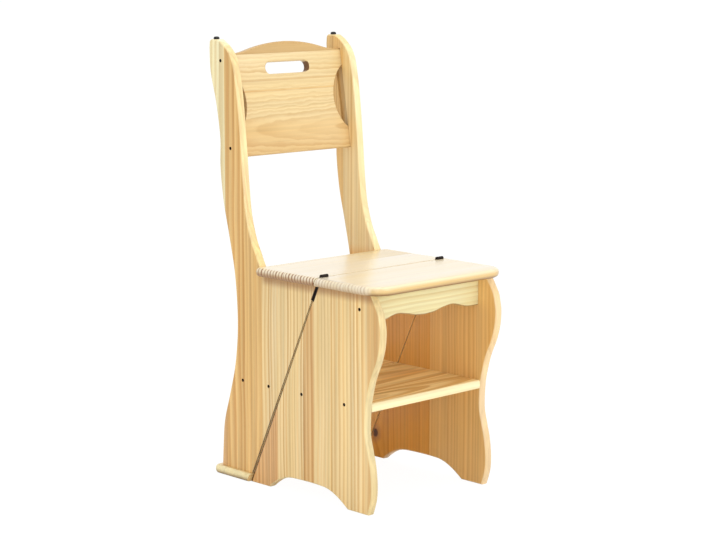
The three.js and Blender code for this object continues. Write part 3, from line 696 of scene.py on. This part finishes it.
back_size = (back_reach, post_top)
rear_edge = smooth_line(from_shares(rear_edge_shares, (axis_depth, 0), back_size), 160)
rear_edge = rear_edge[rear_edge[:, 1] > post_bottom]
rear_corner = smooth_line([rear_edge[-1],
                           *from_shares(rear_corner_shares, (axis_depth, 0), back_size)], 8)[1:]
post_rise = post_top - axis_height
post_front = smooth_line([
    *from_shares(post_top_shares, (axis_depth + post_front_reach, axis_height), (post_depth, post_rise)),
    *from_shares(post_foot_shares, (axis_depth + post_foot_depth, axis_height),
                 (post_front_reach - post_foot_depth, post_rise))], 130)
fade_steps = 8
fade = np.minimum(np.arange(len(post_front))[::-1] / fade_steps, 1) * edge_radius
back_side = closed_outline(
    ([(rear_edge[0, 0], post_bottom)], edge_radius),
    (rear_edge, edge_radius),
    (rear_corner, edge_radius),
    (post_front, fade),
    ([(axis_depth + post_foot_depth, side_top), (cut_depth_at(side_top, mortise_depth), side_top),
      along_cut(mortise_length, mortise_depth), along_cut(mortise_length, saw_gap / 2),
      (cut_depth_at(post_bottom, saw_gap / 2), post_bottom)], 0))
groove_half = backrest_half + fit_gap
groove = np.array([up_the_back(up, ahead) for up, ahead in (
    (-fit_gap, -groove_half), (-fit_gap, groove_half),
    (shoulder_rise + fit_gap, groove_half), (shoulder_rise + fit_gap, -groove_half))])
back_staves = {
    "left": [(-0.6, "straw", -0.30, -0.10, 0.009, 0.0), (0.0925, "honey", 0.34, 0.05, 0.009, 0.0),
             (0.2025, ("russet", "pale"), 0.0, -0.3, 0.014, 0.02)],
    # The right boards' staves are more orange below the seat than above it: a painted shade inside the
    # chair.
    "right": [(-0.6, ("amber", "straw"), 0.14, 0.10, 0.008, 0.02),
              (0.125, ("amber", "straw"), 0.5, 0.26, 0.009, 0.0),
              (0.195, ("amber", "honey"), 0.0, 0.2, 0.008, 0.0)],
}
back_change = {"left": (0.28, 0.38), "right": (0.42, 0.46)}
for side, x_from in side_starts.items():
    # The posts' pale rims are partly a painted highlight.
    wood = pine(f"pine_back_side_{side}", "ZYX", back_staves[side], grain=side_grain[side],
                seed=0.2, change=back_change[side], edges=("pale", 0.5), gap_shade=saw_gap_shade)
    pockets = screw_pockets(("upper_step_screw", "backrest_screw"), side, (1, 2), side == "right")
    pockets.append((groove, groove_depth, side == "left", groove_shade))
    mesh = board_mesh(f"back_side_{side}", *back_side, side_thickness,
                      lambda u, v, w: (x_from + w, u, v), pockets=pockets, pale_cut=True)
    add_piece(f"back_side_{side}", mesh, wood)

# The backrest is one wide glued board that leans back between the posts. Its top is a low arch, its
# ends are cut out in a curve beside the posts, and a long slot under the arch is there for the hand.
backrest_end = inner_half + groove_depth - fit_gap
arch_rise = 0.021
slot_length, slot_height = 0.118, 0.024
slot_middle = shoulder_rise - 0.033
slot_edge_radius = 0.004
# How dark the painted shade is on the sides of the cut-outs and of the slot, and how far short of the ends
# it stops.
cutout_shade, slot_shade, end_in_groove = 0.5, 0.88, 0.002
cutout_length, cutout_depth = 0.126, 0.030
cutout_middle = shoulder_rise - 0.100
arch_shares = [(0, 1), (0.2, 0.938), (0.4, 0.762), (0.59, 0.48), (0.76, 0.167), (0.92, 0)]
cutout_radius = (cutout_length ** 2 / 4 + cutout_depth ** 2) / (2 * cutout_depth)
cutout_centre = inner_half + cutout_radius - cutout_depth
cutout_angle = math.acos((cutout_centre - backrest_end) / cutout_radius)
cutout = arc((cutout_centre, cutout_middle), (-cutout_radius, cutout_radius),
             np.linspace(-cutout_angle, cutout_angle, 33))
arch = smooth_line(from_shares(arch_shares, (0, shoulder_rise), (inner_half, arch_rise)), 50)[::-1]
mirror = (-1, 1)
backrest = closed_outline(
    ([(backrest_end, 0)], 0),
    (cutout[:-1], edge_radius),
    (cutout[-1:], 0),
    ([(backrest_end, shoulder_rise)], edge_radius),
    (arch, edge_radius),
    (arch[-2::-1] * mirror, edge_radius),
    ([(-backrest_end, shoulder_rise)], 0),
    (cutout[:0:-1] * mirror, edge_radius),
    (cutout[:1] * mirror, 0),
    ([(-backrest_end, 0)], edge_radius))
slot_end = slot_length / 2 - slot_height / 2
slot_cap = arc((slot_end, 0), slot_height / 2, np.linspace(math.pi / 2, -math.pi / 2, 17))
slot = np.concatenate([slot_cap, -slot_cap]) + (0, slot_middle)
mesh = board_mesh("backrest", *backrest, 2 * backrest_half,
                  lambda u, v, w: (u, *up_the_back(v, w - backrest_half)),
                  openings=[(slot, slot_edge_radius)],
                  shaded_sides=((backrest_end - end_in_groove, cutout_shade), (slot_length, slot_shade)))
backrest_staves = [
    (-0.6, ("buff", "sand", 0.04, 0.09), 0.045, 0.035, 0.007, 0.05),
    *[(start, wood, 0.42, 0.1, 0.009, 0.02) for start, wood in (
        (0.1285, "buff"), (0.1325, "sand"), (0.1500, "buff"), (0.1535, "sand"))],
    (0.206, "fawn", 0.25, 0.1, 0.009, 0.0)]
wood = pine("pine_backrest", "XZY", backrest_staves, (0, *up_the_back(0, backrest_half)), backrest_lean,
            grain=0.75, flame=0.012)
add_piece("backrest", mesh, wood)

# The top step is a board screwed up into the lower ends of the back side boards. It lies on the floor
# while this is a chair. Its rear corners and its edges are rounded, and its front side is sawn.
tread_corner, tread_edge_radius = 0.012, 0.007


def rounded_end(half, depth, radius, outward):
    """The end of a board seen from above: two quarter circles and the side between them."""
    right = arc((half - radius, depth - outward * radius), (radius, outward * radius),
                np.linspace(0, math.pi / 2, 13))
    return np.concatenate([right, right[::-1] * mirror])


low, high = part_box("top_step")
sawn, place = plan_place(low.z, high.z, saw_gap / 2)
top_step = closed_outline((rounded_end(high.x, high.y, tread_corner, 1), tread_edge_radius),
                          ([(-high.x, sawn)], 0), ([(high.x, sawn)], tread_edge_radius))
mesh = board_mesh("top_step", *top_step, high.z - low.z, place,
                  pockets=screw_pockets("top_step_screw", "", (0, 1), False))
top_step_staves = [(-0.6, "straw", 0.05, -0.12, 0.007, 0.02), (0.2, "straw", 0.1, -0.3, 0.008, 0.0)]
# Its pale rims are partly a painted highlight, and a painted shade darkens the lower part of the rim.
wood = pine("pine_top_step", "XYZ", top_step_staves, edges=("pale", 0.9), under=(0.002, 0.012, 0.75))
add_piece("top_step", mesh, wood)

# The seat is one board with well rounded edges, dowelled to the side boards and sawn in two along the
# slanting cut, whose edges are barely broken. Each sawn side is let in for the hinge leaves over the
# side boards, and the seat's ends show their end grain.
seat_edge_radius = 0.008
seat_corner_radii = {"front": 0.045, "rear": 0.010}
seat_staves = {
    "front": [(-0.6, "blond", -0.7, 0.06, 0.0084, 0.0), (-0.16, "blond", 0.5, 0.1, 0.0084, 0.01)],
    "rear": [(-0.6, "blond", -0.8, 0.05, 0.0084, 0.0), (0.012, ("blond", "sand"), 0.6, 0.0, 0.0084, 0.0)],
}
seat_end_grain = 0.175
# How strong the end grain's strokes are: weaker on the front half, whose end is left paler as a painted
# highlight.
seat_strokes = {"front": 0.3, "rear": 1.0}
broken_edge = 0.0005
for half, outward in (("front", -1), ("rear", 1)):
    low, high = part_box(f"seat_{half}")
    sawn, place = plan_place(low.z, high.z, outward * saw_gap / 2)
    recess = cut_depth_at((low.z + high.z) / 2, outward * mortise_depth)
    notch = np.array([(inner_half - fit_gap, sawn), (inner_half - fit_gap, recess),
                      (outer_half + fit_gap, recess), (outer_half + fit_gap, sawn)])
    end = rounded_end(high.x, low.y if half == "front" else high.y, seat_corner_radii[half], outward)
    outline = closed_outline((end, seat_edge_radius), ([(-high.x, sawn)], broken_edge),
                             (notch[::-1] * mirror, [0, 0, 0, broken_edge]),
                             (notch, [0, 0, 0, broken_edge]), ([(high.x, sawn)], seat_edge_radius))
    mesh = board_mesh(f"seat_{half}", *outline, high.z - low.z, place)
    # The seat's rims are darker towards the bottom, partly their end grain and partly painted shade, with
    # more painted shade at the very bottom.
    wood = pine(f"pine_seat_{half}", "XYZ", seat_staves[half], (0, 0, low.z), grain=0.35, waver=1.0,
                edges=("rim", 0.9), edge_fade=(0.009, 0.018), under=(0.001, 0.009, 0.95),
                end_from=seat_end_grain, strokes=seat_strokes[half], coat=1.0, change=(0.0, 0.15))
    add_piece(f"seat_{half}", mesh, wood)

# Fluted beech dowels with bevelled ends pin the seat to the top of each side board. They are glued
# into blind holes, and hidden once the seat is on.
dowel_bevel = 0.0015
dowel_flutes, flute_share = 14, 0.05


def turned_mesh(name, along, radii, start, direction):
    """A surface turned about an axis: one row of radii for each place along the axis, and one column
    for each angle about it. It closes where the radii of its end rows are 0."""
    angles = np.arange(radii.shape[1]) * 2 * math.pi / radii.shape[1]
    along = np.broadcast_to(np.asarray(along, float)[:, None], radii.shape)
    local = np.stack([radii * np.cos(angles), radii * np.sin(angles), along], -1).reshape(-1, 3)
    turned = np.array(Vector((0, 0, 1)).rotation_difference(Vector(direction)).to_matrix())
    mesh = bpy.data.meshes.new(name)
    mesh.from_pydata(local @ turned.T + np.array(start), [], strip_faces(*radii.shape)[1])
    return cleaned([mesh])


def beech():
    """Plain beech, with short darker flecks along the dowel."""
    material, shader, place = new_material("beech")
    axes = parts_of(place)
    fleck = (axes["X"] * 900).vector(axes["Y"] * 900, axes["Z"] * 90).noise(1.0, 2.0).rise(0.08, 0.2)
    tint = (fleck * 0.6).mix(colour("dcb88a"), colour("a87a4c"))
    connect(shader, Base_Color=tint, Roughness=0.62 + fleck * 0.1)
    return material


dowel_finish = beech()
for node in frame["nodes"]:
    if "seat_dowel" in node:
        low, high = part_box(node)
        length, radius = high.z - low.z, (high.x - low.x) / 2
        along = np.array([0, 0, dowel_bevel, length - dowel_bevel, length, length])
        tip = 1 - dowel_bevel / radius / 2
        shape = np.array([0, tip, 1, 1, tip, 0])
        angles = np.arange(4 * dowel_flutes) * math.pi / 2 / dowel_flutes
        fluting = 1 - flute_share * (1 + np.cos(angles * dowel_flutes))
        start = ((low.x + high.x) / 2, (low.y + high.y) / 2, low.z)
        mesh = turned_mesh(node, along, radius * shape[:, None] * fluting, start, (0, 0, 1))
        add_piece(node, mesh, dowel_finish)

# Two blackened steel hinges join the halves. Each leaf lies in the cut with its outer face against the
# wood and rolls into its knuckles, two on the front leaf and one between them, and a pin passes
# through all three.
leaf_length = 0.056
leaf_inner, leaf_outer = 0.001, 0.0036
knuckle_count = 3
leaf_edge_radius = 0.0003
hinge_screw_places = (0.036, 0.049)
hinge_screw_length = 0.014
hinge_screw_radius, hinge_screw_head = 0.0015, 0.0028
hinge_head_height, hinge_socket_depth = 0.0014, 0.0007
pin_radius, pin_bevel = 0.0016, 0.0004
socket_half_width, head_bevel = 0.0013, 0.0003
thread_pitch, thread_root, plain_neck = 0.0016, 0.78, 0.001


def dark_steel(name, skin, worn, roughness):
    """Blackened steel: the dark skin thins to brown in cloudy patches."""
    material, shader, place = new_material(name)
    cloud = place.noise(260.0, 4.0, 0.6)
    speck = place.noise(2600.0, 2.0)
    tint = cloud.rise(0.02, 0.3).mix(colour(skin), colour(worn))
    connect(shader, Base_Color=tint, Roughness=roughness + cloud * 0.2 + speck * 0.1,
            Normal=(cloud * 0.5 + speck * 0.5).bump(0.3, 0.0001))
    shader.inputs["Metallic"].default_value = 0.35
    shader.inputs["Specular IOR Level"].default_value = 0.3
    return material


def leaf_mesh(name, x_from, facing):
    """One hinge leaf: a plate, let in for its screw heads, and fingers that roll round the axis."""
    knuckle_length = (side_thickness - (knuckle_count - 1) * fit_gap) / knuckle_count
    clear = leaf_outer + fit_gap
    plate = closed_outline(([(clear, 0), (leaf_length, 0), (leaf_length, side_thickness),
                             (clear, side_thickness)], leaf_edge_radius))
    heads = [(circle((place, side_thickness / 2), hinge_screw_head + fit_gap / 2), hinge_head_height,
              False, 0) for place in hinge_screw_places]
    meshes = [board_mesh(name, *plate, leaf_outer - leaf_inner,
                         lambda u, v, w: (x_from + v, *along_cut(u, facing * (leaf_inner + w))),
                         pockets=heads)]
    roll = arc((0, 0), leaf_outer,
               np.linspace(math.pi / 2, 2 * math.pi + math.asin(leaf_inner / leaf_outer), 26))
    finger = closed_outline((roll, leaf_edge_radius),
                            ([(clear + fit_gap, leaf_inner), (clear + fit_gap, leaf_outer)],
                             leaf_edge_radius))
    for i in range(0 if facing < 0 else 1, knuckle_count, 2):
        start = x_from + i * (knuckle_length + fit_gap)
        meshes.append(board_mesh(f"{name}_{i}", *finger, knuckle_length,
                                 lambda u, v, w: (start + w, *along_cut(u, facing * v))))
    return cleaned(meshes)


def screw_mesh(name, length, radius, head, head_height, socket, start, direction):
    """A countersunk screw from its socket's floor to its point. The socket is six-sided: its radius is
    its half width over the cosine of the angle from the nearest flat. The thread is a ridge whose
    place along the screw goes on by the pitch in each turn."""
    angles = np.arange(24) * math.pi / 12
    off_flat = (angles + math.pi / 6) % (math.pi / 3) - math.pi / 6
    hexagon = socket_half_width / np.cos(off_flat)
    even = np.ones(24)
    thread_along = np.arange(head_height + plain_neck, length - radius, thread_pitch / 6)
    turns = thread_along[:, None] / thread_pitch - angles / (2 * math.pi)
    ridge = np.abs(turns % 1 - 0.5) * 2
    thread = radius * (thread_root + (1 - thread_root) * ridge)
    along = [socket, socket, 0, 0, head_bevel, head_height, *thread_along, length]
    radii = np.vstack([0 * even, hexagon, hexagon, (head - head_bevel) * even, head * even,
                       radius * even, thread, 0 * even])
    return turned_mesh(name, along, radii, start, direction)


hinge_finish = dark_steel("blackened_hinge_steel", "1d130c", "33231a", 0.5)
screw_finish = dark_steel("blackened_screw_steel", "140d08", "241811", 0.55)
for side, x_from in side_starts.items():
    middle = x_from + side_thickness / 2
    for half, facing in (("front", -1), ("rear", 1)):
        node = f"hinge_{half}_leaf_{side}"
        add_piece(node, leaf_mesh(node, x_from, facing), hinge_finish)
        into_wood = np.subtract(along_cut(0, facing), along_cut(0, 0))
        for i, place in enumerate(hinge_screw_places):
            node = f"{half}_hinge_screw_{side}_{i + 1}"
            start = (middle, *along_cut(place, facing * leaf_inner))
            mesh = screw_mesh(node, hinge_screw_length, hinge_screw_radius, hinge_screw_head,
                              hinge_head_height, hinge_socket_depth, start, (0, *into_wood))
            add_piece(node, mesh, screw_finish)
    node = f"hinge_pin_{side}"
    low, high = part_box(node)
    length = high.x - low.x
    along = [0, 0, pin_bevel, length - pin_bevel, length, length]
    profile = np.array([0, pin_radius - pin_bevel, pin_radius, pin_radius, pin_radius - pin_bevel, 0])
    mesh = turned_mesh(node, along, profile[:, None] * np.ones(20), (low.x, axis_depth, axis_height),
                       (1, 0, 0))
    add_piece(node, mesh, hinge_finish)

# Dark countersunk screws hold every joint but those of the seat. Each head lies a little below the
# face of its board, in a counterbore, and has a six-sided socket.
screw_radius, screw_head = 0.002, 0.0032
screw_head_height, screw_socket_depth = 0.003, 0.0014
for node in frame["nodes"]:
    if "screw" not in node or "hinge" in node:
        continue
    low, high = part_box(node)
    middle = (low + high) / 2
    if node.startswith("top_step"):
        start, direction, length = (middle.x, middle.y, low.z), (0, 0, 1), high.z - low.z
    else:
        outward = 1 if middle.x > 0 else -1
        start = (high.x if outward > 0 else low.x, middle.y, middle.z)
        direction, length = (-outward, 0, 0), high.x - low.x
    mesh = screw_mesh(node, length, screw_radius, screw_head, screw_head_height, screw_socket_depth,
                      start, direction)
    add_piece(node, mesh, screw_finish)

# A domed black rubber bumper is nailed to the top of each post. It stands on the floor when the back
# half is turned over.
bumper_height, bumper_nail_radius = 0.0052, 0.0012
dome_from, dome_power = 0.35, 0.7


def rubber():
    """Matt black rubber with a fine mottle."""
    material, shader, place = new_material("black_rubber")
    mottle = place.noise(900.0, 3.0, 0.6)
    tint = mottle.rise(-0.1, 0.3).mix(colour("0d0c0b"), colour("1e1c1a"))
    connect(shader, Base_Color=tint, Roughness=0.7 + mottle * 0.2, Normal=mottle.bump(0.3, 0.0002))
    return material


bumper_finish = rubber()
for side in side_starts:
    node = f"bumper_{side}"
    low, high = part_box(node)
    radius = (high.x - low.x) / 2
    base = high.z - low.z - bumper_height
    angles = np.linspace(0, math.pi / 2, 9)
    along = [0, 0, base, base, *(base + bumper_height * (dome_from + (1 - dome_from) * np.sin(angles)))]
    profile = [0, bumper_nail_radius, bumper_nail_radius, radius, *(radius * np.cos(angles) ** dome_power)]
    mesh = turned_mesh(node, along, np.array(profile)[:, None] * np.ones(28),
                       ((low.x + high.x) / 2, (low.y + high.y) / 2, low.z), (0, 0, 1))
    add_piece(node, mesh, bumper_finish)

# Studio: a pale floor that keeps the chair's soft shadow, a white room behind it, and broad lamps at a
# plain level.
floor_reach = 40
floor_mesh = bpy.data.meshes.new("floor")
corners = [(x * floor_reach, y * floor_reach, 0) for x, y in ((-1, -1), (1, -1), (1, 1), (-1, 1))]
floor_mesh.from_pydata(corners, [], [range(4)])
floor = add_object("floor", floor_mesh)
floor_material = bpy.data.materials.new("pale_floor")
floor_material.use_nodes = True
tree = floor_material.node_tree
seen = Wire(tree).node("ShaderNodeLightPath", output="Is Camera Ray")
shadow_share, floor_white = 0.12, 1.07
white = seen.node("ShaderNodeEmission", None, {"Color": (1, 1, 1, 1), "Strength": floor_white})
lit = seen.node("ShaderNodeBsdfDiffuse", None, {"Color": (0.9, 0.9, 0.9, 1)})
mixed = seen.node("ShaderNodeMixShader", None, {0: seen * (1 - shadow_share), 1: lit, 2: white})
tree.links.new(mixed.socket, tree.nodes["Material Output"].inputs["Surface"])
floor_mesh.materials.append(floor_material)

world = bpy.data.worlds.new("studio")
bpy.context.scene.world = world
world.use_nodes = True
tree = world.node_tree
room = tree.nodes["Background"]
path = Wire(tree).node("ShaderNodeLightPath").socket.node.outputs
seen = Wire(tree, path["Is Camera Ray"]) + Wire(tree, path["Is Glossy Ray"]) \
    + Wire(tree, path["Is Transmission Ray"])
room_level = 0.82
level = seen.math("MINIMUM", 1.0) * (1 - room_level) + room_level
tree.links.new(level.socket, room.inputs["Strength"])
room.inputs["Color"].default_value = (1, 1, 1, 1)

lamps = {"front": ((0.6, -3.6, 1.4), 2.0, 32), "low": ((-2.0, -2.6, 0.7), 1.6, 18),
         "top": ((0.2, -0.4, 3.4), 2.4, 32)}
lamp_target = Vector((0, 0, 0.4))
for name, (place, size, power) in lamps.items():
    lamp_data = bpy.data.lights.new(name, "AREA")
    lamp_data.size = size
    lamp_data.energy = power
    lamp = add_object(name, lamp_data)
    lamp.location = place
    lamp.rotation_mode = "QUATERNION"
    lamp.rotation_quaternion = (Vector(place) - lamp_target).to_track_quat("Z", "Y")

bpy.context.scene.view_settings.view_transform = "Standard"
